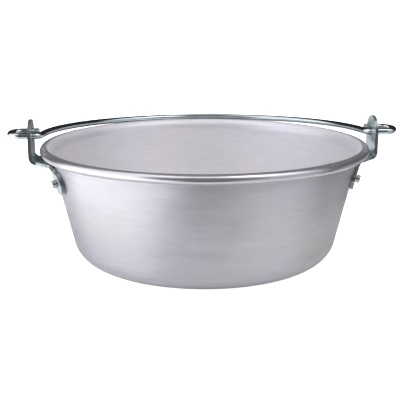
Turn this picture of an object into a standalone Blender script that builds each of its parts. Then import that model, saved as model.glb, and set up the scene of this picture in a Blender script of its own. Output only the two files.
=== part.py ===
"""Tapered aluminium kettle with two riveted steel ears and a swinging steel bail.

Metres, +Z up. The origin is the centre of the flat base, on the surface the kettle
stands on. The ears sit on the X axis. The bail hinges on a line parallel to X through
the two ears, and at rest it lies back on the +Y side of the rolled rim.
"""
import math

import bmesh
import bpy
from mathutils import Matrix, Vector

# Pan
RIM_RADIUS = 0.200
PAN_HEIGHT = 0.143
SHEET = 0.0025
BEAD_RADIUS = 0.0055
BEAD_WRAP = math.radians(240)
WALL_TAPER = math.radians(13.2)
WALL_RADIUS_AT_BEAD = 0.1877
BASE_CORNER_RADIUS = 0.032
PAN_SEGMENTS = 72
CORNER_STEPS = 6
SHOULDER_STEPS = 4
BEAD_STEPS = 8

# Ears
EAR_SHEET = 0.004
EAR_FACE_X = 0.2088
EAR_HALF_WIDTH = 0.0205
EAR_TIP_END = math.radians(84)
EAR_BEND_RADIUS = 0.0075
HEEL_HALF_WIDTH = 0.0222
EAR_STEP_X = 0.195
EAR_STEP_HEIGHT = 0.1222
EAR_STEP_SLOPE = math.radians(1.5)
FAN_HALF_WIDTH = 0.038
HINGE_HEIGHT = 0.1526
HINGE_HOLE_RADIUS = 0.0054
FOOT_BOTTOM = 0.092
FOOT_EDGE_SLOPE = math.radians(20)
FOOT_LOBE_CENTRE = 0.0625
FOOT_LOBE_RADIUS = 0.0125
FOOT_LOBE_HEIGHT = 0.106
FOOT_LOBE_END = math.radians(75)
FOOT_TOP_HALF_WIDTH = 0.0605
FOOT_BEND_RADIUS = 0.005
EAR_COLUMNS = 14
FOOT_EDGE_ROWS = 3
FOOT_LOBE_STEPS = 8
FOOT_BEND_STEPS = 4
FAN_ROWS = 3
HEEL_STEPS = 5
TIP_STEPS = 9

# Rivets
RIVET_HEIGHT = 0.106
RIVET_ANGLE = math.radians(17)
RIVET_SHANK_RADIUS = 0.0027
RIVET_HEAD_RADIUS = 0.0047
RIVET_HEAD_LENGTH = 0.0046
RIVET_BUTTON_RADIUS = 0.005
RIVET_BUTTON_LENGTH = 0.001
RIVET_BUTTON_EDGE = 0.0004
RIVET_CROWN_RADIUS = 0.003
RIVET_CHAMFER = 0.0009
RIVET_SEGMENTS = 16

# Bail
ROD_RADIUS = 0.004
ARCH_RADIUS = 0.2012
NECK_BEND_RADIUS = 0.0085
HOOK_REACH = 0.243
HOOK_SPACING = 0.026
HOOK_END_X = 0.2052
HOOK_TWIST = math.radians(5.5)
BAIL_SLIDE = 0.002
HOOK_STEPS = 10
NECK_STEPS = 6
ARCH_STEPS = 48

# Clearance kept between pieces that touch
GAP = 0.0003

# Drill guides and mesh clean-up
DRILL_SEGMENTS = 24
HINGE_DRILL_LENGTH = 0.5
RIVET_DRILL_LENGTH = 0.03
MERGE = 1e-6


def clear_scene():
    for obj in list(bpy.data.objects):
        bpy.data.objects.remove(obj, do_unlink=True)


def metal(name, colour, roughness):
    """A plain metallic material."""
    material = bpy.data.materials.new(name)
    material.use_nodes = True
    shader = material.node_tree.nodes["Principled BSDF"]
    shader.inputs["Base Color"].default_value = (*colour, 1.0)
    shader.inputs["Metallic"].default_value = 1.0
    shader.inputs["Roughness"].default_value = roughness
    return material


def add_object(name, data, material=None, matrix=None):
    """Link an object that shows the given mesh or curve."""
    obj = bpy.data.objects.new(name, data)
    bpy.context.scene.collection.objects.link(obj)
    if material is not None and not data.materials:
        data.materials.append(material)
    if matrix is not None:
        obj.matrix_world = matrix
    return obj


def smooth(mesh, angle_degrees):
    mesh.shade_smooth()
    mesh.set_sharp_from_angle(angle=math.radians(angle_degrees))


def arc(centre, radius, start, end, steps):
    """Points along a circular arc, both ends included."""
    points = []
    for index in range(steps + 1):
        angle = start + (end - start) * index / steps
        points.append((centre[0] + radius * math.cos(angle), centre[1] + radius * math.sin(angle)))
    return points


def turned_mesh(name, profile, segments):
    """Spin a profile of (radius, height) points, which starts and ends on Z, about Z."""
    mesh = bpy.data.meshes.new(name)
    bm = bmesh.new()
    verts = [bm.verts.new((radius, 0.0, height)) for radius, height in profile]
    edges = [bm.edges.new(pair) for pair in zip(verts, verts[1:])]
    bmesh.ops.spin(
        bm, geom=verts + edges, cent=(0, 0, 0), axis=(0, 0, 1),
        angle=math.tau, steps=segments, use_merge=True,
    )
    bmesh.ops.remove_doubles(bm, verts=bm.verts[:], dist=MERGE)
    bmesh.ops.recalc_face_normals(bm, faces=bm.faces[:])
    bm.to_mesh(mesh)
    bm.free()
    return mesh


def wall_outer_radius(height):
    """Radius of the wall's outer face at a height below the bead."""
    bead_bottom = PAN_HEIGHT - 2 * BEAD_RADIUS
    return WALL_RADIUS_AT_BEAD + math.tan(WALL_TAPER) * (height - bead_bottom)


def sheet_profile(offset):
    """One face of the pan's sheet, from the axis out to the edge of the rolled bead.

    The offset runs from the middle of the sheet towards the outside and the underside
    of the pan. The same arcs serve both faces, so the sheet keeps one thickness.
    """
    half = SHEET / 2
    slant = math.cos(WALL_TAPER)
    corner_radius = BASE_CORNER_RADIUS - half
    corner_z = half + corner_radius
    corner_r = wall_outer_radius(corner_z) - (half + corner_radius) / slant
    bead_r = RIM_RADIUS - BEAD_RADIUS
    bead_z = PAN_HEIGHT - BEAD_RADIUS
    top_z = PAN_HEIGHT - half
    wall_mid_r = wall_outer_radius(bead_z) - half / slant
    shoulder_radius = (bead_r - wall_mid_r) * slant - (top_z - bead_z) * math.sin(WALL_TAPER)
    shoulder_radius /= 1 - math.sin(WALL_TAPER)
    quarter = math.pi / 2
    points = [(0.0, half - offset)]
    points += arc((corner_r, corner_z), corner_radius + offset,
                  -quarter, -WALL_TAPER, CORNER_STEPS)
    points += arc((bead_r, top_z - shoulder_radius), shoulder_radius - offset,
                  math.pi - WALL_TAPER, quarter, SHOULDER_STEPS)
    points += arc((bead_r, bead_z), BEAD_RADIUS - half - offset,
                  quarter, quarter - BEAD_WRAP, BEAD_STEPS)[1:]
    return points


def pan_mesh():
    """A spun pan: flat base, rounded corner, tapered wall and a rim rolled outwards."""
    half = SHEET / 2
    profile = sheet_profile(half) + sheet_profile(-half)[::-1]
    mesh = turned_mesh("pan_body", profile, PAN_SEGMENTS)
    smooth(mesh, 40)
    return mesh


def ear_path():
    """Middle line of an ear's sheet from foot to tip, as (x, z, half width, flatness).

    Flatness is 0 where the sheet follows the round wall and 1 where it is plane.
    """
    stand_off = (GAP + EAR_SHEET / 2) / math.cos(WALL_TAPER)
    upright_x = EAR_FACE_X + EAR_SHEET / 2
    rise = math.tan(EAR_STEP_SLOPE)

    # Foot: a sloping lower edge, then a round lobe outside each rivet.
    lobe = arc((FOOT_LOBE_CENTRE, FOOT_LOBE_HEIGHT), FOOT_LOBE_RADIUS,
               FOOT_EDGE_SLOPE - math.pi / 2, FOOT_LOBE_END, FOOT_LOBE_STEPS)
    lobe_width, lobe_bottom = lobe[0]
    inset = (lobe_bottom - FOOT_BOTTOM) / math.tan(FOOT_EDGE_SLOPE)
    edge = []
    for index in range(FOOT_EDGE_ROWS):
        share = index / FOOT_EDGE_ROWS
        width = lobe_width - inset * (1 - share)
        edge.append((width, FOOT_BOTTOM + (lobe_bottom - FOOT_BOTTOM) * share))
    rows = [(wall_outer_radius(z) + stand_off, z, width, 0.0) for width, z in edge + lobe]

    # Bend from the foot's line, parallel to the wall, into the line of the step.
    foot_x = wall_outer_radius(EAR_STEP_HEIGHT) + stand_off
    corner_z = EAR_STEP_HEIGHT + rise * (foot_x - EAR_STEP_X) / (1 - rise * math.tan(WALL_TAPER))
    corner_x = wall_outer_radius(corner_z) + stand_off
    turn = math.pi / 2 - WALL_TAPER - EAR_STEP_SLOPE
    back = FOOT_BEND_RADIUS * math.tan(turn / 2)
    centre = (corner_x - back * math.sin(WALL_TAPER) + FOOT_BEND_RADIUS * math.cos(WALL_TAPER),
              corner_z - back * math.cos(WALL_TAPER) - FOOT_BEND_RADIUS * math.sin(WALL_TAPER))
    bend = arc(centre, FOOT_BEND_RADIUS,
               math.pi - WALL_TAPER, math.pi / 2 + EAR_STEP_SLOPE, FOOT_BEND_STEPS)
    for index, (x, z) in enumerate(bend):
        share = index / FOOT_BEND_STEPS
        width = FOOT_TOP_HALF_WIDTH + (FAN_HALF_WIDTH - FOOT_TOP_HALF_WIDTH) * share
        rows.append((x, z, width, 0.0))

    # Bend from the step up into the upright.
    corner_z = EAR_STEP_HEIGHT + rise * (upright_x - EAR_STEP_X)
    back = EAR_BEND_RADIUS * math.tan((math.pi / 2 - EAR_STEP_SLOPE) / 2)
    centre = (upright_x - EAR_BEND_RADIUS, corner_z + back)
    heel = arc(centre, EAR_BEND_RADIUS, EAR_STEP_SLOPE - math.pi / 2, 0.0, HEEL_STEPS)

    # Between the bends the step narrows like a fan and flattens.
    start_x, start_z, start_width, _ = rows[-1]
    for index in range(1, FAN_ROWS):
        share = index / FAN_ROWS
        x = start_x + (heel[0][0] - start_x) * share
        z = start_z + (heel[0][1] - start_z) * share
        rows.append((x, z, start_width + (HEEL_HALF_WIDTH - start_width) * share, share))
    for index, (x, z) in enumerate(heel):
        width = HEEL_HALF_WIDTH + (EAR_HALF_WIDTH - HEEL_HALF_WIDTH) * index / HEEL_STEPS
        rows.append((x, z, width, 1.0))

    # Upright with a round tip, concentric with the hinge hole.
    for width, z in arc((0.0, HINGE_HEIGHT), EAR_HALF_WIDTH, 0.0, EAR_TIP_END, TIP_STEPS):
        rows.append((upright_x, z, width, 1.0))
    return rows


def ear_mesh():
    """A bent strap: round tip, upright, step under the rim and a wide curved foot."""
    reference = wall_outer_radius(FOOT_LOBE_HEIGHT) + GAP + EAR_SHEET / 2
    mesh = bpy.data.meshes.new("ear")
    bm = bmesh.new()
    grid = []
    for x, z, half_width, flatness in ear_path():
        row = []
        for column in range(EAR_COLUMNS + 1):
            across = half_width * (2 * column / EAR_COLUMNS - 1)
            angle = across / reference
            curved = Vector((x * math.cos(angle), x * math.sin(angle), z))
            plane = Vector((x, across, z))
            row.append(bm.verts.new(curved.lerp(plane, flatness)))
        grid.append(row)
    for lower, upper in zip(grid, grid[1:]):
        for column in range(EAR_COLUMNS):
            bm.faces.new((lower[column], lower[column + 1], upper[column + 1], upper[column]))
    bmesh.ops.recalc_face_normals(bm, faces=bm.faces[:])
    bm.to_mesh(mesh)
    bm.free()
    smooth(mesh, 40)
    return mesh


def cutter(name, radius, length, matrix):
    """A guide cylinder along its own Z axis, centred on its origin, that drills holes."""
    mesh = bpy.data.meshes.new(name)
    bm = bmesh.new()
    bmesh.ops.create_cone(
        bm, cap_ends=True, segments=DRILL_SEGMENTS,
        radius1=radius, radius2=radius, depth=length,
    )
    bm.to_mesh(mesh)
    bm.free()
    obj = add_object(name, mesh, matrix=matrix)
    obj.hide_render = True
    obj.display_type = "WIRE"
    return obj


def drill(obj, guide):
    """Cut the guide's shape out of the object."""
    modifier = obj.modifiers.new(guide.name, "BOOLEAN")
    modifier.operation = "DIFFERENCE"
    modifier.solver = "EXACT"
    modifier.object = guide


def rivet_matrix(angle):
    """Frame of a rivet: origin on the wall's outer face, Z square to the wall."""
    radius = wall_outer_radius(RIVET_HEIGHT)
    place = Vector((radius * math.cos(angle), radius * math.sin(angle), RIVET_HEIGHT))
    turn = Matrix.Rotation(angle, 4, "Z") @ Matrix.Rotation(math.pi / 2 + WALL_TAPER, 4, "Y")
    return Matrix.Translation(place) @ turn


def rivet_mesh():
    """A round shank with a drum head outside and a low button head inside the pan."""
    inner = -SHEET - GAP
    outer = 2 * GAP + EAR_SHEET
    top = outer + RIVET_HEAD_LENGTH
    profile = [
        (0.0, inner - RIVET_BUTTON_LENGTH),
        (RIVET_CROWN_RADIUS, inner - RIVET_BUTTON_LENGTH),
        (RIVET_BUTTON_RADIUS, inner - RIVET_BUTTON_EDGE),
        (RIVET_BUTTON_RADIUS, inner),
        (RIVET_SHANK_RADIUS, inner),
        (RIVET_SHANK_RADIUS, outer),
        (RIVET_HEAD_RADIUS, outer),
        (RIVET_HEAD_RADIUS, top - RIVET_CHAMFER),
        (RIVET_HEAD_RADIUS - RIVET_CHAMFER, top),
        (0.0, top),
    ]
    mesh = turned_mesh("rivet", profile, RIVET_SEGMENTS)
    smooth(mesh, 35)
    return mesh


def rest_drop():
    """Angle by which the bail lies below level when its crown rests on the bead."""
    bead_r = RIM_RADIUS - BEAD_RADIUS
    bead_z = PAN_HEIGHT - BEAD_RADIUS
    contact = ROD_RADIUS + BEAD_RADIUS + GAP
    # The crown is on a circle about the hinge and one rod and bead radius from the bead.
    distance = math.hypot(bead_r, HINGE_HEIGHT - bead_z)
    bead_angle = math.atan2(HINGE_HEIGHT - bead_z, bead_r)
    cosine = (ARCH_RADIUS ** 2 + distance ** 2 - contact ** 2) / (2 * ARCH_RADIUS * distance)
    return bead_angle - math.acos(cosine)


def hook_points():
    """The bail's +X end, from its free tip round to the start of the arch.

    The return leg of the hook stands a little above the plane of the arch.
    """
    neck_x = math.sqrt(ARCH_RADIUS ** 2 + 2 * ARCH_RADIUS * NECK_BEND_RADIUS)
    loop_radius = HOOK_SPACING / 2
    loop_x = HOOK_REACH - ROD_RADIUS - loop_radius
    loop = [(HOOK_END_X, HOOK_SPACING)]
    loop += arc((loop_x, loop_radius), loop_radius, math.pi / 2, -math.pi / 2, HOOK_STEPS)
    points = [Vector((x, y * math.cos(HOOK_TWIST), y * math.sin(HOOK_TWIST))) for x, y in loop]
    meet = math.atan2(NECK_BEND_RADIUS, neck_x)
    neck = arc((neck_x, NECK_BEND_RADIUS), NECK_BEND_RADIUS,
               -math.pi / 2, -math.pi + meet, NECK_STEPS)
    points += [Vector((x, y, 0.0)) for x, y in neck]
    return points, meet


def bail_curve():
    """Round rod: half-circle arch that turns out through each ear and hooks back."""
    hook, meet = hook_points()
    arch = arc((0.0, 0.0), ARCH_RADIUS, meet, math.pi - meet, ARCH_STEPS)[1:-1]
    points = hook + [Vector((x, y, 0.0)) for x, y in arch]
    points += [Vector((-p.x, p.y, p.z)) for p in reversed(hook)]
    curve = bpy.data.curves.new("bail_handle", "CURVE")
    curve.dimensions = "3D"
    curve.bevel_depth = ROD_RADIUS
    curve.bevel_resolution = 3
    curve.use_fill_caps = True
    spline = curve.splines.new("POLY")
    spline.points.add(len(points) - 1)
    for target, point in zip(spline.points, points):
        target.co = (*point, 1.0)
    spline.use_smooth = True
    return curve


def build():
    clear_scene()
    aluminium = metal("brushed_aluminium", (0.78, 0.77, 0.79), 0.32)
    zinc = metal("zinc_plated_steel", (0.62, 0.68, 0.69), 0.22)
    rivet_metal = metal("rivet_aluminium", (0.70, 0.71, 0.72), 0.30)

    hinge_line = Matrix.Translation((0, 0, HINGE_HEIGHT)) @ Matrix.Rotation(math.pi / 2, 4, "Y")
    hinge_guide = cutter("guide_hinge_hole", HINGE_HOLE_RADIUS, HINGE_DRILL_LENGTH, hinge_line)

    pan = add_object("pan_body", pan_mesh(), aluminium)
    ears = ear_mesh()
    rivets = rivet_mesh()
    for side, base_angle in (("right", 0.0), ("left", math.pi)):
        ear = add_object(f"{side}_ear", ears, zinc, Matrix.Rotation(base_angle, 4, "Z"))
        solidify = ear.modifiers.new("sheet", "SOLIDIFY")
        solidify.thickness = EAR_SHEET
        solidify.offset = 0.0
        solidify.use_even_offset = True
        drill(ear, hinge_guide)
        for place, sign in (("rear", 1), ("front", -1)):
            if side == "left":
                sign = -sign
            frame = rivet_matrix(base_angle + sign * RIVET_ANGLE)
            guide = cutter(f"guide_{side}_{place}_rivet", RIVET_SHANK_RADIUS + GAP,
                           RIVET_DRILL_LENGTH, frame)
            drill(pan, guide)
            drill(ear, guide)
            add_object(f"{side}_{place}_rivet", rivets, rivet_metal, frame)

    hinge = bpy.data.objects.new("bail_hinge", None)
    bpy.context.scene.collection.objects.link(hinge)
    hinge.location = (BAIL_SLIDE, 0, HINGE_HEIGHT)
    hinge.rotation_euler = (-rest_drop(), 0, 0)
    bail = add_object("bail_handle", bail_curve(), zinc)
    bail.parent = hinge


build()
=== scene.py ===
import math

import bmesh
import bpy
from mathutils import Matrix, Vector, noise


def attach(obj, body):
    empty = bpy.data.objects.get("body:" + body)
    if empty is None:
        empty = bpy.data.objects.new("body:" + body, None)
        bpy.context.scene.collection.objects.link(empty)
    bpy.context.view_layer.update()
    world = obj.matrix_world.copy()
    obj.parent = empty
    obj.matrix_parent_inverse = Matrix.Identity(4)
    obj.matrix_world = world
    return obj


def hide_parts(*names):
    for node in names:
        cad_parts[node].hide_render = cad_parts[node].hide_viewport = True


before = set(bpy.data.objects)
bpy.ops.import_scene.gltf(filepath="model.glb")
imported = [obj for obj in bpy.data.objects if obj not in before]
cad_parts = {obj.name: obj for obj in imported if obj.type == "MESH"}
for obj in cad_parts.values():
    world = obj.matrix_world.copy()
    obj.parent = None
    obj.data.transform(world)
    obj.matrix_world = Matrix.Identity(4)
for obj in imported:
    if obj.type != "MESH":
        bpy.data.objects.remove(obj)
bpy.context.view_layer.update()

# Clearance between pieces that touch
GAP = 0.0003

# Pan, on the same arcs as the CAD solid but in finer steps
RIM_RADIUS = 0.200
PAN_HEIGHT = 0.143
SHEET = 0.0025
BEAD_RADIUS = 0.0055
BEAD_WRAP = math.radians(240)
BEAD_CENTRE_RADIUS = RIM_RADIUS - BEAD_RADIUS
BEAD_CENTRE_HEIGHT = PAN_HEIGHT - BEAD_RADIUS
WALL_TAPER = math.radians(13.2)
WALL_RADIUS_AT_BEAD = 0.1877
BASE_CORNER_RADIUS = 0.032
INNERMOST_RING_RADIUS = 0.004
CUT_EDGE_ROUNDING = 0.0005
PAN_SEGMENTS = 288
BASE_STEPS = 24
CORNER_STEPS = 20
WALL_STEPS = 28
SHOULDER_STEPS = 12
BEAD_STEPS = 32
CUT_EDGE_STEPS = 6

# Waves that spinning leaves in the wall: depth, number per metre, and where they fade in and out
WAVE_DEPTH = 0.00012
WAVES_ACROSS = 9
WAVES_UP = 16
WAVE_START_RADIUS = 0.12
WAVE_START_FADE = 0.03
WAVE_TOP_HEIGHT = 0.13
WAVE_TOP_FADE = 0.02

# The duller inside fades out at the rim's crest and is weaker on a ring just below it.
CREST_FADE = 0.004
SHINY_RING_HEIGHT = 0.1325
SHINY_RING_HALF_WIDTH = 0.0028
SHINY_RING_STRENGTH = 0.3

# Ears
EAR_SHEET = 0.004
EAR_FACE_X = 0.2088
EAR_HALF_WIDTH = 0.0205
EAR_TIP_FLAT = math.sin(math.radians(84))
EAR_BEND_RADIUS = 0.0075
HEEL_HALF_WIDTH = 0.0222
EAR_STEP_X = 0.195
EAR_STEP_HEIGHT = 0.1222
EAR_STEP_SLOPE = math.radians(1.5)
FAN_HALF_WIDTH = 0.038
HINGE_HEIGHT = 0.1526
HINGE_HOLE_RADIUS = 0.0054
FOOT_BOTTOM = 0.092
FOOT_EDGE_SLOPE = math.radians(20)
FOOT_LOBE_CENTRE = 0.0625
FOOT_LOBE_RADIUS = 0.0125
FOOT_LOBE_HEIGHT = 0.106
FOOT_LOBE_END = math.radians(75)
FOOT_TOP_HALF_WIDTH = 0.0605
FOOT_BEND_RADIUS = 0.005
EAR_COLUMNS = 32
FOOT_EDGE_STEPS = 4
FOOT_LOBE_STEPS = 18
FOOT_BEND_STEPS = 10
EAR_SHELF_STEPS = 8
EAR_HEEL_STEPS = 12
EAR_SIDE_STEPS = 16
EAR_TIP_STEPS = 48
HINGE_HOLE_RINGS = 8
EAR_EDGE_ROUNDING = 0.00055
EAR_EDGE_SEGMENTS = 3
EAR_EDGE_ANGLE = math.radians(50)

# Rivets
RIVET_HEIGHT = 0.106
RIVET_ANGLE = math.radians(17)
RIVET_SHANK_RADIUS = 0.0027
RIVET_HEAD_RADIUS = 0.0047
RIVET_HEAD_LENGTH = 0.0046
RIVET_BUTTON_RADIUS = 0.005
RIVET_BUTTON_LENGTH = 0.001
RIVET_BUTTON_LIP = 0.15
RIVET_BUTTON_CHAMFER = 0.0001
RIVET_HEAD_CHAMFER = 0.0002
RIVET_HEAD_ROUNDING = 0.0007
RIVET_INNERMOST_RADIUS = 0.0003
RIVET_DISH_RADIUS = 0.0012
RIVET_DISH_INSETS = (1.25 * RIVET_HEAD_ROUNDING, 1.8 * RIVET_HEAD_ROUNDING)
RIVET_DISH_DEPTHS = (0.00002, 0.00025, 0.00042, 0.00045)
RIVET_BUTTON_STEPS = 12
UNDER_BUTTON_STEPS = 4
UNDER_HEAD_STEPS = 3
RIVET_SIDE_STEPS = 6
RIVET_ROUNDING_STEPS = 6
RIVET_SEGMENTS = 48
RIVET_SHARP_ANGLE = math.radians(50)

# Bail
ROD_RADIUS = 0.004
ARCH_RADIUS = 0.2012
NECK_BEND_RADIUS = 0.0085
HOOK_REACH = 0.243
HOOK_SPACING = 0.026
HOOK_END_X = 0.2052
HOOK_TWIST = math.radians(5.5)
BAIL_SLIDE = 0.002
ROD_SEGMENTS = 32
ROD_END_EDGE = 0.0008
ROD_END_STEPS = 4
ROD_SHARP_ANGLE = math.radians(60)
HOOK_LOOP_STEPS = 40
HOOK_STRAND_STEPS = 8
NECK_STEPS = 14
ARCH_STEPS = 160


# ---------------------------------------------------------------- shapes

def arc(centre, radius, start, end, steps):
    """Points along a circular arc, both ends included."""
    points = []
    for index in range(steps + 1):
        angle = start + (end - start) * index / steps
        points.append((centre[0] + radius * math.cos(angle), centre[1] + radius * math.sin(angle)))
    return points


def line(start, end, steps):
    """Points strictly between two points, evenly spaced."""
    points = []
    for index in range(1, steps):
        share = index / steps
        points.append(tuple(a + (b - a) * share for a, b in zip(start, end)))
    return points


def wall_outer_radius(height):
    """Radius of the wall's outer face at a height below the bead."""
    bead_bottom = PAN_HEIGHT - 2 * BEAD_RADIUS
    return WALL_RADIUS_AT_BEAD + math.tan(WALL_TAPER) * (height - bead_bottom)


def finish_mesh(name, bm, material):
    """Turn a bmesh into a smooth-shaded object with its material."""
    bmesh.ops.recalc_face_normals(bm, faces=bm.faces[:])
    mesh = bpy.data.meshes.new(name)
    bm.to_mesh(mesh)
    bm.free()
    mesh.shade_smooth()
    mesh.materials.append(material)
    obj = bpy.data.objects.new(name, mesh)
    bpy.context.scene.collection.objects.link(obj)
    return obj


def grid_faces(bm, rows, closed_columns=False):
    """Quads between rows of vertices."""
    for lower, upper in zip(rows, rows[1:]):
        count = len(lower)
        last = count if closed_columns else count - 1
        for index in range(last):
            step = (index + 1) % count
            bm.faces.new((lower[index], lower[step], upper[step], upper[index]))


def turned(bm, profile, segments):
    """Rings of a profile of (radius, height) turned about Z; the ends close on the axis."""
    rings = []
    for radius, height in profile:
        ring = []
        for index in range(segments):
            angle = math.tau * index / segments
            ring.append(bm.verts.new((radius * math.cos(angle), radius * math.sin(angle), height)))
        rings.append(ring)
    grid_faces(bm, rings, closed_columns=True)
    for ring, height in ((rings[0], profile[0][1]), (rings[-1], profile[-1][1])):
        centre = bm.verts.new((0.0, 0.0, height))
        for index in range(segments):
            bm.faces.new((ring[index], ring[(index + 1) % segments], centre))


def sheet_profile(offset):
    """One face of the pan's sheet, from near the axis out to the edge of the rolled bead."""
    half = SHEET / 2
    slant = math.cos(WALL_TAPER)
    corner_radius = BASE_CORNER_RADIUS - half
    corner_z = half + corner_radius
    corner_r = wall_outer_radius(corner_z) - (half + corner_radius) / slant
    bead_r, bead_z = BEAD_CENTRE_RADIUS, BEAD_CENTRE_HEIGHT
    top_z = PAN_HEIGHT - half
    wall_mid_r = wall_outer_radius(bead_z) - half / slant
    shoulder_radius = (bead_r - wall_mid_r) * slant - (top_z - bead_z) * math.sin(WALL_TAPER)
    shoulder_radius /= 1 - math.sin(WALL_TAPER)
    quarter = math.pi / 2
    corner = arc((corner_r, corner_z), corner_radius + offset,
                 -quarter, -WALL_TAPER, CORNER_STEPS)
    shoulder = arc((bead_r, top_z - shoulder_radius), shoulder_radius - offset,
                   math.pi - WALL_TAPER, quarter, SHOULDER_STEPS)
    bead = arc((bead_r, bead_z), BEAD_RADIUS - half - offset,
               quarter, quarter - BEAD_WRAP, BEAD_STEPS)[1:]
    innermost = (INNERMOST_RING_RADIUS, half - offset)
    points = [innermost] + line(innermost, corner[0], BASE_STEPS) + corner
    points += line(corner[-1], shoulder[0], WALL_STEPS) + shoulder + bead
    return points


def rounded_cut(outer, inner):
    """Points that round off the bead's cut edge, from its outer face to its inner one."""
    middle = [(a + b) / 2 for a, b in zip(outer[-1], inner[-1])]
    along = Vector((outer[-1][0] - outer[-2][0], outer[-1][1] - outer[-2][1])).normalized()
    across = Vector((outer[-1][0] - middle[0], outer[-1][1] - middle[1]))
    points = []
    for index in range(1, CUT_EDGE_STEPS):
        angle = math.pi * index / CUT_EDGE_STEPS
        reach = along * CUT_EDGE_ROUNDING * math.sin(angle)
        point = Vector(middle) + across * math.cos(angle) + reach
        points.append((point.x, point.y))
    return points


def mark_inside(bm, first_ring):
    """Mark the rings of the inner face, and the two middle vertices, for the duller finish."""
    inside = bm.verts.layers.float.new("inside")
    for index, vert in enumerate(bm.verts):
        if index // PAN_SEGMENTS >= first_ring:
            to_crest = BEAD_CENTRE_RADIUS - math.hypot(vert.co.x, vert.co.y)
            dull = min(1.0, max(0.0, to_crest / CREST_FADE))
            from_ring = abs(vert.co.z - SHINY_RING_HEIGHT)
            shiny = max(0.0, 1 - from_ring / SHINY_RING_HALF_WIDTH)
            vert[inside] = dull * (1 - SHINY_RING_STRENGTH * shiny)


def wave_wall(bm):
    """Draw the wall in very slightly, in the broad waves that spinning leaves."""
    for vert in bm.verts:
        radius = math.hypot(vert.co.x, vert.co.y)
        if radius < WAVE_START_RADIUS or vert.co.z > WAVE_TOP_HEIGHT:
            continue
        ramp = min(1.0, (radius - WAVE_START_RADIUS) / WAVE_START_FADE,
                   (WAVE_TOP_HEIGHT - vert.co.z) / WAVE_TOP_FADE)
        place = Vector((vert.co.x * WAVES_ACROSS, vert.co.y * WAVES_ACROSS, vert.co.z * WAVES_UP))
        depth = WAVE_DEPTH * ramp * (0.5 + 0.5 * noise.noise(place))
        vert.co.x *= 1 - depth / radius
        vert.co.y *= 1 - depth / radius


def pan_piece(material):
    """A spun pan: flat base, rounded corner, tapered wall and a rim rolled outwards."""
    outer = sheet_profile(SHEET / 2)
    inner = sheet_profile(-SHEET / 2)
    edge = rounded_cut(outer, inner)
    bm = bmesh.new()
    turned(bm, outer + edge + inner[::-1], PAN_SEGMENTS)
    mark_inside(bm, len(outer) + len(edge))
    wave_wall(bm)
    return finish_mesh("pan", bm, material)


def ear_path():
    """Middle line of an ear from foot to hole, as rows of (x, z, half width, flatness)."""
    stand_off = (GAP + EAR_SHEET / 2) / math.cos(WALL_TAPER)
    upright_x = EAR_FACE_X + EAR_SHEET / 2
    rise = math.tan(EAR_STEP_SLOPE)

    # The foot lies on the wall: a sloping lower edge, then the round lobes at its ends.
    lobe = arc((FOOT_LOBE_CENTRE, FOOT_LOBE_HEIGHT), FOOT_LOBE_RADIUS,
               FOOT_EDGE_SLOPE - math.pi / 2, FOOT_LOBE_END, FOOT_LOBE_STEPS)
    lobe_width, lobe_bottom = lobe[0]
    inset = (lobe_bottom - FOOT_BOTTOM) / math.tan(FOOT_EDGE_SLOPE)
    edge = []
    for index in range(FOOT_EDGE_STEPS):
        share = index / FOOT_EDGE_STEPS
        edge.append((lobe_width - inset * (1 - share),
                     FOOT_BOTTOM + (lobe_bottom - FOOT_BOTTOM) * share))
    rows = [(wall_outer_radius(z) + stand_off, z, width, 0.0) for width, z in edge + lobe]

    # The bend from the foot out to the shelf under the rim
    foot_x = wall_outer_radius(EAR_STEP_HEIGHT) + stand_off
    corner_z = EAR_STEP_HEIGHT + rise * (foot_x - EAR_STEP_X) / (1 - rise * math.tan(WALL_TAPER))
    corner_x = wall_outer_radius(corner_z) + stand_off
    turn = math.pi / 2 - WALL_TAPER - EAR_STEP_SLOPE
    back = FOOT_BEND_RADIUS * math.tan(turn / 2)
    centre = (corner_x - back * math.sin(WALL_TAPER) + FOOT_BEND_RADIUS * math.cos(WALL_TAPER),
              corner_z - back * math.cos(WALL_TAPER) - FOOT_BEND_RADIUS * math.sin(WALL_TAPER))
    bend = arc(centre, FOOT_BEND_RADIUS,
               math.pi - WALL_TAPER, math.pi / 2 + EAR_STEP_SLOPE, FOOT_BEND_STEPS)
    for index, (x, z) in enumerate(bend):
        share = index / FOOT_BEND_STEPS
        half_width = FOOT_TOP_HALF_WIDTH + (FAN_HALF_WIDTH - FOOT_TOP_HALF_WIDTH) * share
        rows.append((x, z, half_width, 0.0))

    # The heel, where the shelf turns up into the flat upright
    corner_z = EAR_STEP_HEIGHT + rise * (upright_x - EAR_STEP_X)
    back = EAR_BEND_RADIUS * math.tan((math.pi / 2 - EAR_STEP_SLOPE) / 2)
    centre = (upright_x - EAR_BEND_RADIUS, corner_z + back)
    heel = arc(centre, EAR_BEND_RADIUS, EAR_STEP_SLOPE - math.pi / 2, 0.0, EAR_HEEL_STEPS)

    start_x, start_z, start_width, _ = rows[-1]
    for index in range(1, EAR_SHELF_STEPS):
        share = index / EAR_SHELF_STEPS
        x = start_x + (heel[0][0] - start_x) * share
        z = start_z + (heel[0][1] - start_z) * share
        rows.append((x, z, start_width + (HEEL_HALF_WIDTH - start_width) * share, share))
    for index, (x, z) in enumerate(heel):
        narrowing = (EAR_HALF_WIDTH - HEEL_HALF_WIDTH) * index / EAR_HEEL_STEPS
        rows.append((x, z, HEEL_HALF_WIDTH + narrowing, 1.0))
    return rows


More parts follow.
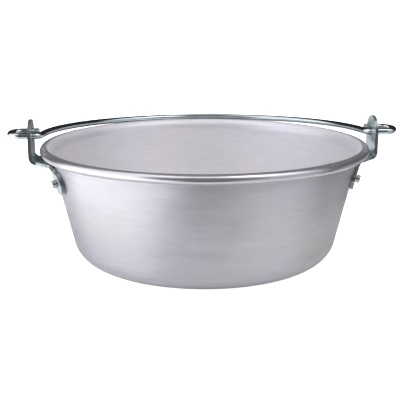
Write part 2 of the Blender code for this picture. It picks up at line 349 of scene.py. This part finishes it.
def ear_piece(name, base_angle, material):
    """A bent strap: round tip with a hinge hole, upright, step under the rim, wide curved foot."""
    foot_radius = wall_outer_radius(FOOT_LOBE_HEIGHT) + GAP + EAR_SHEET / 2
    upright_x = EAR_FACE_X + EAR_SHEET / 2
    patch_z = HINGE_HEIGHT - EAR_HALF_WIDTH
    bm = bmesh.new()
    rows = []
    path = ear_path() + [(upright_x, patch_z, EAR_HALF_WIDTH, 1.0)]
    for x, z, half_width, flatness in path:
        row = []
        for column in range(EAR_COLUMNS + 1):
            across = half_width * (2 * column / EAR_COLUMNS - 1)
            angle = across / foot_radius
            curved = Vector((x * math.cos(angle), x * math.sin(angle), z))
            row.append(bm.verts.new(curved.lerp(Vector((x, across, z)), flatness)))
        rows.append(row)
    grid_faces(bm, rows)

    # Round the hinge hole, rings of quads run inwards from the outline to the hole.
    rises = [patch_z + EAR_HALF_WIDTH * index / EAR_SIDE_STEPS
             for index in range(1, EAR_SIDE_STEPS)]
    top = [(EAR_HALF_WIDTH, z) for z in rises]
    for y, z in arc((0.0, 0.0), EAR_HALF_WIDTH, 0.0, math.pi, EAR_TIP_STEPS):
        top.append((y, HINGE_HEIGHT + z * EAR_TIP_FLAT))
    top += [(-EAR_HALF_WIDTH, z) for z in reversed(rises)]
    rim = list(rows[-1]) + [bm.verts.new((upright_x, y, z)) for y, z in top]
    hinge = Vector((upright_x, 0.0, HINGE_HEIGHT))
    rings = [rim]
    for step in range(1, HINGE_HOLE_RINGS + 1):
        share = step / HINGE_HOLE_RINGS
        ring = []
        for vert in rim:
            out = (vert.co - hinge).normalized() * HINGE_HOLE_RADIUS
            ring.append(bm.verts.new(vert.co.lerp(hinge + out, share)))
        rings.append(ring)
    grid_faces(bm, rings, closed_columns=True)

    obj = finish_mesh(name, bm, material)
    obj.matrix_world = Matrix.Rotation(base_angle, 4, "Z")
    solidify = obj.modifiers.new("sheet", "SOLIDIFY")
    solidify.thickness = EAR_SHEET
    solidify.offset = 0.0
    solidify.use_even_offset = True
    bevel = obj.modifiers.new("edges", "BEVEL")
    bevel.width = EAR_EDGE_ROUNDING
    bevel.segments = EAR_EDGE_SEGMENTS
    bevel.limit_method = "ANGLE"
    bevel.angle_limit = EAR_EDGE_ANGLE
    weighted = obj.modifiers.new("flat faces", "WEIGHTED_NORMAL")
    weighted.keep_sharp = True
    return obj


def rivet_profile():
    """Outline of a rivet as (radius, height) from its inner end, the wall's outer face at 0."""
    inner = -SHEET - GAP
    outer = 2 * GAP + EAR_SHEET
    top = outer + RIVET_HEAD_LENGTH
    button = RIVET_BUTTON_RADIUS
    head = RIVET_HEAD_RADIUS
    shank = RIVET_SHANK_RADIUS
    edge = RIVET_HEAD_ROUNDING
    profile = [(RIVET_INNERMOST_RADIUS, inner - RIVET_BUTTON_LENGTH)]
    for index in range(1, RIVET_BUTTON_STEPS + 1):
        turn = math.pi / 2 * index / RIVET_BUTTON_STEPS
        drop = RIVET_BUTTON_LIP + (1 - RIVET_BUTTON_LIP) * math.cos(turn)
        profile.append((button * math.sin(turn), inner - RIVET_BUTTON_LENGTH * drop))
    under_button = (button - RIVET_BUTTON_CHAMFER, inner)
    profile += [(button, inner - RIVET_BUTTON_CHAMFER), under_button]
    profile += line(under_button, (shank, inner), UNDER_BUTTON_STEPS)
    profile += [(shank, inner), (shank, outer)]
    under_head = (head - RIVET_HEAD_CHAMFER, outer)
    side = (head, outer + RIVET_HEAD_CHAMFER)
    profile += line((shank, outer), under_head, UNDER_HEAD_STEPS) + [under_head, side]
    profile += line(side, (head, top - edge), RIVET_SIDE_STEPS)
    profile += arc((head - edge, top - edge), edge, 0.0, math.pi / 2, RIVET_ROUNDING_STEPS)
    # The face is a little dished where the set tool struck it.
    places = [head - inset for inset in RIVET_DISH_INSETS]
    places += [RIVET_DISH_RADIUS, RIVET_INNERMOST_RADIUS]
    return profile + [(radius, top - depth) for radius, depth in zip(places, RIVET_DISH_DEPTHS)]


def rivet_piece(name, angle, material):
    """A drum head outside, a shank through ear and wall, a low button head inside the pan."""
    bm = bmesh.new()
    turned(bm, rivet_profile(), RIVET_SEGMENTS)
    obj = finish_mesh(name, bm, material)
    obj.data.set_sharp_from_angle(angle=RIVET_SHARP_ANGLE)
    radius = wall_outer_radius(RIVET_HEIGHT)
    place = Vector((radius * math.cos(angle), radius * math.sin(angle), RIVET_HEIGHT))
    turn = Matrix.Rotation(angle, 4, "Z") @ Matrix.Rotation(math.pi / 2 + WALL_TAPER, 4, "Y")
    obj.matrix_world = Matrix.Translation(place) @ turn
    return obj


def rest_drop():
    """Angle by which the bail lies below level when its crown rests on the bead."""
    bead_r, bead_z = BEAD_CENTRE_RADIUS, BEAD_CENTRE_HEIGHT
    contact = ROD_RADIUS + BEAD_RADIUS + GAP
    distance = math.hypot(bead_r, HINGE_HEIGHT - bead_z)
    bead_angle = math.atan2(HINGE_HEIGHT - bead_z, bead_r)
    cosine = (ARCH_RADIUS ** 2 + distance ** 2 - contact ** 2) / (2 * ARCH_RADIUS * distance)
    return bead_angle - math.acos(cosine)


def bail_points():
    """Middle line of the rod from one free tip to the other, in the plane of the arch."""
    neck_x = math.sqrt(ARCH_RADIUS ** 2 + 2 * ARCH_RADIUS * NECK_BEND_RADIUS)
    loop_radius = HOOK_SPACING / 2
    loop_x = HOOK_REACH - ROD_RADIUS - loop_radius
    tip = (HOOK_END_X, HOOK_SPACING)
    loop = arc((loop_x, loop_radius), loop_radius, math.pi / 2, -math.pi / 2, HOOK_LOOP_STEPS)
    leg = [tip] + line(tip, loop[0], HOOK_STRAND_STEPS) + loop
    points = [Vector((x, y * math.cos(HOOK_TWIST), y * math.sin(HOOK_TWIST))) for x, y in leg]
    meet = math.atan2(NECK_BEND_RADIUS, neck_x)
    neck = arc((neck_x, NECK_BEND_RADIUS), NECK_BEND_RADIUS,
               -math.pi / 2, -math.pi + meet, NECK_STEPS)
    strand = line(loop[-1], neck[0], HOOK_STRAND_STEPS)
    points += [Vector((x, y, 0.0)) for x, y in strand + neck]
    arch = arc((0.0, 0.0), ARCH_RADIUS, meet, math.pi - meet, ARCH_STEPS)[1:-1]
    mirrored = [Vector((-p.x, p.y, p.z)) for p in reversed(points)]
    return points + [Vector((x, y, 0.0)) for x, y in arch] + mirrored


def rounded_end(tip, inward):
    """Centres and radii of the rings that round off a cut end of the rod, tip first."""
    rings = []
    for step in range(ROD_END_STEPS + 1):
        turn = math.pi / 2 * step / ROD_END_STEPS
        rings.append((tip + inward * ROD_END_EDGE * (1 - math.cos(turn)),
                      ROD_RADIUS - ROD_END_EDGE * (1 - math.sin(turn))))
    return rings


def bail_piece(material):
    """Round rod swept along its middle line, with the tips' edges rounded."""
    points = bail_points()
    first = (points[1] - points[0]).normalized()
    last = (points[-2] - points[-1]).normalized()
    body = [(point, ROD_RADIUS) for point in points[1:-1]]
    stations = rounded_end(points[0], first) + body + rounded_end(points[-1], last)[::-1]
    centres = [centre for centre, radius in stations]
    bm = bmesh.new()
    along_layer = bm.loops.layers.uv.new("rod")
    side = Vector((0.0, 0.0, 1.0))
    rings, lengths, travelled = [], [], 0.0
    for index, (centre, radius) in enumerate(stations):
        before = centres[max(0, index - 1)]
        after = centres[min(len(centres) - 1, index + 1)]
        tangent = (after - before).normalized()
        side = (side - tangent * side.dot(tangent)).normalized()
        other = tangent.cross(side)
        if index:
            travelled += (centre - centres[index - 1]).length
        ring = []
        for step in range(ROD_SEGMENTS):
            angle = math.tau * step / ROD_SEGMENTS
            out = side * math.cos(angle) + other * math.sin(angle)
            ring.append(bm.verts.new(centre + out * radius))
        rings.append(ring)
        lengths.append(travelled)
    for level, (lower, upper) in enumerate(zip(rings, rings[1:])):
        for step in range(ROD_SEGMENTS):
            after = (step + 1) % ROD_SEGMENTS
            face = bm.faces.new((lower[step], lower[after], upper[after], upper[step]))
            around = (step, step + 1, step + 1, step)
            lift = (lengths[level], lengths[level], lengths[level + 1], lengths[level + 1])
            for loop, u, v in zip(face.loops, around, lift):
                loop[along_layer].uv = (u / ROD_SEGMENTS, v)
    for ring in (rings[0], rings[-1]):
        bm.faces.new(ring)
    obj = finish_mesh("bail", bm, material)
    obj.data.set_sharp_from_angle(angle=ROD_SHARP_ANGLE)
    hinge = Matrix.Translation((BAIL_SLIDE, 0, HINGE_HEIGHT))
    obj.matrix_world = hinge @ Matrix.Rotation(-rest_drop(), 4, "X")
    return obj


# ---------------------------------------------------------------- materials

class Nodes:
    """Helpers that add nodes to self.tree. A value is a plain number or another node's socket."""

    def add(self, kind, inputs=None, **settings):
        made = self.tree.nodes.new(kind)
        for key, value in settings.items():
            setattr(made, key, value)
        for key, value in (inputs or {}).items():
            if isinstance(value, bpy.types.NodeSocket):
                self.tree.links.new(value, made.inputs[key])
            else:
                made.inputs[key].default_value = value
        return made

    def math(self, operation, first, second=0.0):
        return self.add("ShaderNodeMath", {0: first, 1: second}, operation=operation).outputs[0]

    def spread(self, value, low, high, out_low=0.0, out_high=1.0, **settings):
        """The value moved from the range low to high onto out_low to out_high, and kept there."""
        made = self.add("ShaderNodeMapRange", {
            "Value": value, "From Min": low, "From Max": high,
            "To Min": out_low, "To Max": out_high,
        }, **settings)
        return made.outputs["Result"]


class Shader(Nodes):
    """A material with one Principled shader, a metal unless its Metallic value is changed."""

    def __init__(self, name, roughness, anisotropic=0.0):
        # An export may read these plain values even where a node is linked over them.
        self.material = bpy.data.materials.new(name)
        self.material.use_nodes = True
        self.tree = self.material.node_tree
        self.shader = self.tree.nodes["Principled BSDF"]
        self.fix("Metallic", 1.0)
        self.fix("Roughness", roughness)
        self.fix("Anisotropic", anisotropic)
        self.place = self.add("ShaderNodeTexCoord").outputs["Object"]

    def fix(self, name, value):
        """Give one of the shader's inputs a plain value."""
        self.shader.inputs[name].default_value = value

    def set(self, name, socket):
        """Feed one of the shader's inputs from a node."""
        self.tree.links.new(socket, self.shader.inputs[name])

    def noise(self, vector, scale, detail=2.0, rough=0.5):
        made = self.add("ShaderNodeTexNoise", {
            "Vector": vector, "Scale": scale, "Detail": detail, "Roughness": rough,
        })
        return made.outputs["Fac"]

    def stretch(self, vector, factors):
        made = self.add("ShaderNodeVectorMath", {0: vector, 1: factors}, operation="MULTIPLY")
        return made.outputs[0]

    def mix(self, factor, first, second):
        """A blend of two colours, each an (r, g, b) or a socket."""
        made = self.add("ShaderNodeMix", data_type="RGBA")
        for index, value in ((0, factor), (6, first), (7, second)):
            if isinstance(value, bpy.types.NodeSocket):
                self.tree.links.new(value, made.inputs[index])
            else:
                made.inputs[index].default_value = value if index == 0 else (*value, 1.0)
        return made.outputs[2]

    def bump(self, height, strength, distance, under=None):
        inputs = {"Height": height, "Strength": strength, "Distance": distance}
        if under is not None:
            inputs["Normal"] = under
        return self.add("ShaderNodeBump", inputs).outputs["Normal"]


# Aluminium
ALUMINIUM_COOL = (0.655, 0.645, 0.700)
ALUMINIUM_WARM = (0.700, 0.672, 0.672)
STREAK_DARK = (0.590, 0.585, 0.610)
STREAK_PALE = (0.725, 0.715, 0.735)
STREAK_SHARE = 0.42
STREAK_CLIMB = (0.77, 0.64)
SMUDGE = (0.47, 0.46, 0.47)
BURNISH_START_HEIGHT = 0.1300
BURNISH_END_HEIGHT = 0.1335
INSIDE_DULL = 0.20
INSIDE_METALLIC = 0.42

# Zinc, with each pair of tints from deep to pale
ROD_TINTS = ((0.560, 0.640, 0.640), (0.650, 0.690, 0.705))
STRAP_TINTS = ((0.505, 0.640, 0.615), (0.585, 0.690, 0.675))
ZINC_SPECK = (0.42, 0.47, 0.48)
EDGE_PAINTED_DARK_REFLECTION = (0.20, 0.235, 0.245)
# A dark colour painted on the strap's edges as a reflection
WORN_EDGE = (0.80, 0.81, 0.80)
ROD_GRAIN = (26.0, 60.0, 1.0)
STRAP_GRAIN = (1500.0, 1500.0, 160.0)
STRAP_METALLIC = 0.78
STRAP_EXTRA_ROUGHNESS = 0.15
# Height over which the painted dark reflection on the tip's edges fades in
EDGE_REFLECTION_FADE_HEIGHT = 0.012

# Rivets
RIVET_DEEP = (0.52, 0.54, 0.54)
RIVET_PALE = (0.68, 0.69, 0.69)
# Painted shade for the rivet's crevices
RIVET_PAINTED_CREVICE_SHADE = (0.16, 0.16, 0.16)
SCOURED_ROUGHNESS = 0.25
SCOURED_METALLIC = 0.5


def turned_aluminium():
    """Satin aluminium off a lathe: fine rings, broken streaks and faint handling marks."""
    s = Shader("turned_aluminium", 0.46, anisotropic=0.75)
    x, y, z = s.add("ShaderNodeSeparateXYZ", {0: s.place}).outputs
    flat = s.add("ShaderNodeCombineXYZ", {0: x, 1: y}).outputs[0]
    radius = s.add("ShaderNodeVectorMath", {0: flat}, operation="LENGTH").outputs["Value"]
    ring = s.add("ShaderNodeCombineXYZ", {0: radius, 1: z}).outputs[0]
    around = s.add("ShaderNodeVectorMath", {0: flat}, operation="NORMALIZE").outputs[0]
    around_parts = s.add("ShaderNodeSeparateXYZ", {0: around}).outputs
    # A distance that grows along the base and up the wall alike
    climb = s.math("ADD", s.math("MULTIPLY", radius, STREAK_CLIMB[0]),
                   s.math("MULTIPLY", z, STREAK_CLIMB[1]))

    def streaks(turns, per_metre, detail):
        """Noise drawn out round the pan."""
        place = s.add("ShaderNodeCombineXYZ", {
            0: s.math("MULTIPLY", around_parts[0], turns),
            1: s.math("MULTIPLY", around_parts[1], turns),
            2: s.math("MULTIPLY", climb, per_metre),
        }).outputs[0]
        return s.noise(place, 1.0, detail, 0.6)

    def burnished(wall, rim):
        """One value on the wall and another on the rolled rim, which the roller burnished."""
        return s.spread(z, BURNISH_START_HEIGHT, BURNISH_END_HEIGHT, wall, rim)

    fine = s.noise(ring, 1900.0, 3.0, 0.65)
    broad = s.noise(ring, 170.0, 2.0, 0.55)
    broken = streaks(7.0, 420.0, 4.0)
    faint = streaks(2.2, 110.0, 2.0)
    cloud = s.noise(s.place, 11.0, 3.0, 0.5)
    smudge = s.noise(s.place, 38.0, 4.0, 0.6)

    tint = s.mix(s.spread(cloud, 0.35, 0.65), ALUMINIUM_COOL, ALUMINIUM_WARM)
    lined = s.mix(s.spread(broken, 0.30, 0.72), STREAK_DARK, STREAK_PALE)
    colour = s.mix(STREAK_SHARE, tint, lined)
    s.set("Base Color", s.mix(s.spread(smudge, 0.60, 0.80, 0.0, 0.10), colour, SMUDGE))

    rough = s.math("ADD", s.spread(broad, 0.3, 0.7, 0.43, 0.50),
                   s.spread(faint, 0.3, 0.7, -0.03, 0.03))
    rough = s.math("ADD", rough, s.spread(smudge, 0.35, 0.75, -0.015, 0.03))
    rough = s.math("MULTIPLY", rough, burnished(1.0, 0.52))
    # The inside is duller than the outside.
    inside = s.add("ShaderNodeAttribute", attribute_name="inside").outputs["Fac"]
    s.set("Roughness", s.math("ADD", rough, s.math("MULTIPLY", inside, INSIDE_DULL)))
    s.set("Metallic", s.math("MINIMUM", burnished(0.94, 0.84),
                             s.spread(inside, 0.0, 1.0, 1.0, INSIDE_METALLIC)))

    s.set("Anisotropic", burnished(0.75, 0.35))
    s.set("Tangent", s.add("ShaderNodeTangent", direction_type="RADIAL", axis="Z").outputs[0])
    s.fix("Anisotropic Rotation", 0.25)
    grain = s.bump(fine, 0.10, 0.0001)
    grain = s.bump(broken, 0.10, 0.0003, grain)
    s.set("Normal", s.bump(broad, 0.06, 0.0006, grain))
    return s.material


def paint_dark_edge_reflection(s, tint):
    """Painted dark reflection: faces along the strap's sides, and up- or down-facing faces from
    near the hinge height upwards, are darkened in colour.
    """
    facing = s.add("ShaderNodeTexCoord").outputs["Normal"]
    turns = s.add("ShaderNodeSeparateXYZ", {0: facing}).outputs
    height = s.add("ShaderNodeSeparateXYZ", {0: s.place}).outputs[2]
    upright = s.spread(height, HINGE_HEIGHT - EDGE_REFLECTION_FADE_HEIGHT, HINGE_HEIGHT)
    edge_reflection_mask = s.math("MAXIMUM", s.math("ABSOLUTE", turns[1]),
                     s.math("MULTIPLY", s.math("ABSOLUTE", turns[2]), upright))
    # Painted dark reflection: edge faces are mixed towards the dark colour.
    return s.mix(s.spread(edge_reflection_mask, 0.45, 0.75, 0.0, 0.85), tint, EDGE_PAINTED_DARK_REFLECTION)


def zinc_plating(name, rod):
    """Bright zinc over rolled or drawn steel: cool, with faint passivation tints."""
    s = Shader(name, 0.12)
    s.fix("Metallic", 1.0 if rod else STRAP_METALLIC)
    if rod:
        along_rod = s.add("ShaderNodeUVMap", uv_map="rod").outputs[0]
        grain_place = s.stretch(along_rod, ROD_GRAIN)
    else:
        grain_place = s.stretch(s.place, STRAP_GRAIN)
    grain = s.noise(grain_place, 1.0, 3.0, 0.6)
    cloud = s.noise(s.place, 42.0, 3.0, 0.55)
    speck = s.noise(s.place, 620.0, 2.0, 0.5)
    deep, pale = ROD_TINTS if rod else STRAP_TINTS
    tint = s.mix(s.spread(cloud, 0.38, 0.62), deep, pale)
    tint = s.mix(s.spread(speck, 0.62, 0.78, 0.0, 0.35), tint, ZINC_SPECK)
    if not rod:
        # The strap's edges get a painted dark reflection.
        tint = paint_dark_edge_reflection(s, tint)
    edge = s.add("ShaderNodeNewGeometry").outputs["Pointiness"]
    s.set("Base Color", s.mix(s.spread(edge, 0.52, 0.60, 0.0, 0.5), tint, WORN_EDGE))
    rough = s.math("ADD", s.spread(cloud, 0.3, 0.7, 0.05, 0.09),
                   s.spread(grain, 0.3, 0.7, -0.015, 0.02))
    if not rod:
        rough = s.math("ADD", rough, STRAP_EXTRA_ROUGHNESS)
    s.set("Roughness", rough)
    under = s.bump(grain, 0.08, 0.00005)
    s.set("Normal", s.bump(speck, 0.10, 0.00006, under))
    return s.material


def pressed_rivet():
    """Soft aluminium rivet, upset by a set tool: dull with small dents, and painted shade in its
    crevices.
    """
    s = Shader("pressed_rivet", 0.3)
    dent = s.noise(s.place, 520.0, 3.0, 0.5)
    fine = s.noise(s.place, 2600.0, 2.0, 0.5)
    tint = s.mix(s.spread(dent, 0.35, 0.65), RIVET_DEEP, RIVET_PALE)
    edge = s.add("ShaderNodeNewGeometry").outputs["Pointiness"]
    # Painted shade: hollow places, where pointiness is low, are darkened in colour.
    s.set("Base Color", s.mix(s.spread(edge, 0.47, 0.40, 0.0, 0.7), tint, RIVET_PAINTED_CREVICE_SHADE))
    rough = s.spread(dent, 0.3, 0.7, 0.22, 0.36)
    # The low head inside the pan is scoured like the metal round it.
    height = s.add("ShaderNodeSeparateXYZ", {0: s.place}).outputs[2]
    scoured = s.spread(height, -SHEET, -SHEET - GAP, 0.0, SCOURED_ROUGHNESS)
    s.set("Roughness", s.math("ADD", rough, scoured))
    s.set("Metallic", s.spread(height, -SHEET, -SHEET - GAP, 1.0, SCOURED_METALLIC))
    under = s.bump(fine, 0.12, 0.00004)
    s.set("Normal", s.bump(dent, 0.25, 0.0002, under))
    return s.material


# ---------------------------------------------------------------- pieces

ALUMINIUM = turned_aluminium()
EAR_ZINC = zinc_plating("zinc_plated_strap", rod=False)
ROD_ZINC = zinc_plating("zinc_plated_rod", rod=True)
RIVET_METAL = pressed_rivet()


def place_piece(obj, body, node):
    """Fix a piece to its body, standing for its CAD node."""
    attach(obj, body)
    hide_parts(node)


place_piece(pan_piece(ALUMINIUM), "kettle", "pan_body")
for side, base_angle, sign in (("right", 0.0, 1), ("left", math.pi, -1)):
    ear = ear_piece(f"{side}_strap_ear", base_angle, EAR_ZINC)
    place_piece(ear, "kettle", f"{side}_ear")
    for where, turn in (("rear", sign), ("front", -sign)):
        angle = base_angle + turn * RIVET_ANGLE
        rivet = rivet_piece(f"{side}_{where}_rivet_set", angle, RIVET_METAL)
        place_piece(rivet, "kettle", f"{side}_{where}_rivet")
place_piece(bail_piece(ROD_ZINC), "bail", "bail_handle")


# ---------------------------------------------------------------- studio

# The camera stands a little left of the pan's own front, and the light is set out from it.
CAMERA_TURN = math.radians(4.8)
CAMERA_PLACE = (-0.0840, -1.0005, 0.3167)
CAMERA_AIM = (0.0, 0.0, 0.08)
CAMERA_LENS = 74.2
CAMERA_SENSOR = 36.0
CAMERA_SHIFT = (-0.0113, -0.0224)
CAMERA_CLIP = (0.05, 200.0)

# The wide floor is what the camera and the shadows see. It reaches past the top of the picture.
# The metal mirrors a smaller sheet of the same paper, with the dark studio beyond its edge.
FLOOR_RADIUS = 150.0
FLOOR_DEPTH = 0.0003
FLOOR_BRIGHTNESS = 0.84
FLOOR_GLOW = 1.0
PAPER_SHEET_RADIUS = 0.33
PAPER_SHEET_DEPTH = 0.0002
PAPER_SHEET_BRIGHTNESS = 0.62
PAPER_SHEET_GLOW = 0.11
PAPER_MOTTLE = 0.01
DISC_SEGMENTS = 128

# A wide, even light for the paper, and a small one over the front of the rim
PAPER_LIGHT_PLACE = (0.0, 0.0, 2.2)
PAPER_LIGHT_SIZE = (4.0, 4.0)
PAPER_POWER = 95.0
OVERHEAD_PLACE = (0.02, -0.40, 0.56)
OVERHEAD_AIM = (0.0, -0.20, 0.14)
OVERHEAD_SIZE = (0.55, 0.22)
OVERHEAD_POWER = 0.35

# The room that the metal mirrors, in directions turned by CAMERA_TURN: X right, Y back, Z up.
# A fade runs from its first place to its second.
ROOM_TINT = (0.96, 0.95, 1.03, 1.0)
DARK_ROOM = 0.03
# The two banks: strengths from low to high, at the heights of BANK_LEVELS
BANK_LEVELS = (-0.15, 0.10, 0.40, 0.70, 0.92)
LEFT_BANK = (2.0, 1.9, 1.42, 1.1, 1.1)
LEFT_BANK_EDGE = (-0.12, -0.36)
LEFT_BANK_REAR = (0.55, 0.20)
LEFT_BANK_LEAN = 0.20
RIGHT_BANK = (0.6, 0.25, 1.05, 1.8, 2.05)
RIGHT_BANK_EDGE = (0.12, 0.36)
RIGHT_BANK_REAR = (0.10, -0.12)
RIGHT_BANK_LEAN = 0.05
# A dark hole round the camera, with a faint glow in it
TOWARD_CAMERA = (-0.98, 0.17)
CAMERA_HOLE = (0.62, 0.86)
FRONT_ROOM = 0.07
FRONT_ROOM_FADE = (0.30, 0.70)
# Overhead, in front
TOP_ROOM = 0.15
TOP_ROOM_HEIGHT = (0.50, 0.85)
TOP_ROOM_REAR = (0.10, -0.15)
# Behind and below the horizon: strength, then the fades along X, Z and Y
BACK_LEFT = (1.0, (-0.14, -0.32), (-0.02, -0.18), (0.25, 0.60))
BACK_RIGHT = (0.4, (0.0, 0.14), (-0.03, -0.17), (0.05, 0.38))


def stage_disc(name, radius, height, material):
    """A flat disc of the studio, not part of the object."""
    bm = bmesh.new()
    bmesh.ops.create_circle(bm, cap_ends=True, segments=DISC_SEGMENTS, radius=radius)
    disc = finish_mesh(name, bm, material)
    disc.location.z = height
    return disc


def paper(name, brightness, glow):
    """Pale matt paper with a faint tooth, a little lit from within like a light table."""
    s = Shader(name, 0.9)
    s.fix("Metallic", 0.0)
    s.fix("Specular IOR Level", 0.1)
    s.fix("Emission Color", (1.0, 1.0, 1.0, 1.0))
    s.fix("Emission Strength", glow)
    fibre = s.noise(s.place, 90.0, 3.0, 0.5)
    low = (brightness - PAPER_MOTTLE,) * 3
    high = (brightness + PAPER_MOTTLE,) * 3
    s.set("Base Color", s.mix(fibre, low, high))
    return s.material


def aim(obj, place, target):
    """Put a lamp or a camera in its place, looking at a point."""
    obj.location = place
    obj.rotation_mode = "QUATERNION"
    obj.rotation_quaternion = (Vector(target) - Vector(place)).to_track_quat("-Z", "Y")


def area_light(name, place, target, size, power):
    data = bpy.data.lights.new(name, "AREA")
    data.shape = "RECTANGLE"
    data.size, data.size_y = size
    data.energy = power
    lamp = bpy.data.objects.new(name, data)
    bpy.context.scene.collection.objects.link(lamp)
    aim(lamp, place, target)
    return lamp


class World(Nodes):
    """The world's nodes, with x, y and z the direction looked in, turned with the camera."""

    def __init__(self):
        world = bpy.data.worlds.new("studio")
        bpy.context.scene.world = world
        world.use_nodes = True
        self.tree = world.node_tree
        self.tree.nodes.clear()
        direction = self.add("ShaderNodeTexCoord").outputs["Generated"]
        turned_room = self.add("ShaderNodeVectorRotate", {
            "Vector": direction, "Angle": CAMERA_TURN,
        }, rotation_type="Z_AXIS").outputs[0]
        self.x, self.y, self.z = self.add("ShaderNodeSeparateXYZ", {0: turned_room}).outputs

    def fade(self, value, places, low=0.0, high=1.0):
        """A smooth change from low to high between two places."""
        return self.spread(value, *places, low, high, interpolation_type="SMOOTHSTEP")

    def levels(self, value, places, heights):
        """Straight runs between the given places, level beyond the first and last."""
        total = None
        for place, after, low, high in zip(places, places[1:], heights, heights[1:]):
            piece = self.spread(value, place, after, 0.0, high - low)
            total = piece if total is None else self.math("ADD", total, piece)
        return self.math("ADD", total, heights[0])

    def bank(self, edge, rear, lean, strengths):
        """A soft bank of light at one side, stopping towards the rear."""
        leaning = self.math("ADD", self.y, self.math("MULTIPLY", self.z, lean))
        shape = self.math("MULTIPLY", self.fade(self.x, edge), self.fade(leaning, rear))
        return self.math("MULTIPLY", shape, self.levels(self.z, BANK_LEVELS, strengths))

    def glow_behind(self, strength, sideways, below, rear):
        """A glow behind the pan and below the horizon, where only the sloping wall mirrors it."""
        shape = self.math("MULTIPLY", self.fade(self.x, sideways),
                          self.fade(self.z, below, 0.0, strength))
        return self.math("MULTIPLY", shape, self.fade(self.y, rear))


def studio_world():
    """Two soft banks left and right, dark between them, with glows in front, above and behind."""
    w = World()
    toward = w.math("ADD", w.math("MULTIPLY", w.y, TOWARD_CAMERA[0]),
                    w.math("MULTIPLY", w.z, TOWARD_CAMERA[1]))
    left = w.bank(LEFT_BANK_EDGE, LEFT_BANK_REAR, LEFT_BANK_LEAN, LEFT_BANK)
    right = w.bank(RIGHT_BANK_EDGE, RIGHT_BANK_REAR, RIGHT_BANK_LEAN, RIGHT_BANK)
    hole = w.fade(toward, CAMERA_HOLE, 1.0, 0.0)
    banks = w.math("MULTIPLY", w.math("ADD", left, right), hole)
    front = w.fade(toward, FRONT_ROOM_FADE, 0.0, FRONT_ROOM)
    top = w.math("MULTIPLY", w.fade(w.z, TOP_ROOM_HEIGHT, 0.0, TOP_ROOM),
                 w.fade(w.y, TOP_ROOM_REAR))
    glow = w.math("ADD", banks, w.math("ADD", front, DARK_ROOM))
    glow = w.math("ADD", glow, top)
    glow = w.math("ADD", glow, w.glow_behind(*BACK_LEFT))
    glow = w.math("ADD", glow, w.glow_behind(*BACK_RIGHT))
    back = w.add("ShaderNodeBackground", {"Color": ROOM_TINT, "Strength": glow})
    w.add("ShaderNodeOutputWorld", {"Surface": back.outputs[0]})


floor_paper = paper("floor_paper", FLOOR_BRIGHTNESS, FLOOR_GLOW)
floor = stage_disc("floor", FLOOR_RADIUS, -FLOOR_DEPTH, floor_paper)
floor.visible_glossy = False
floor.visible_diffuse = False
sheet_paper = paper("sheet_paper", PAPER_SHEET_BRIGHTNESS, PAPER_SHEET_GLOW)
sheet = stage_disc("paper_sheet", PAPER_SHEET_RADIUS, -PAPER_SHEET_DEPTH, sheet_paper)
sheet.visible_camera = False
sheet.visible_diffuse = False
sheet.visible_shadow = False

paper_light = area_light("paper_light", PAPER_LIGHT_PLACE, (0, 0, 0), PAPER_LIGHT_SIZE, PAPER_POWER)
paper_light.visible_glossy = False
studio_world()
overhead = area_light("overhead", OVERHEAD_PLACE, OVERHEAD_AIM, OVERHEAD_SIZE, OVERHEAD_POWER)
overhead.visible_camera = False

camera_data = bpy.data.cameras.new("camera")
camera_data.lens = CAMERA_LENS
camera_data.sensor_width = CAMERA_SENSOR
camera_data.shift_x, camera_data.shift_y = CAMERA_SHIFT
camera_data.clip_start, camera_data.clip_end = CAMERA_CLIP
camera = bpy.data.objects.new("camera", camera_data)
bpy.context.scene.collection.objects.link(camera)
aim(camera, CAMERA_PLACE, CAMERA_AIM)
bpy.context.scene.camera = camera
bpy.context.scene.view_settings.view_transform = "Standard"
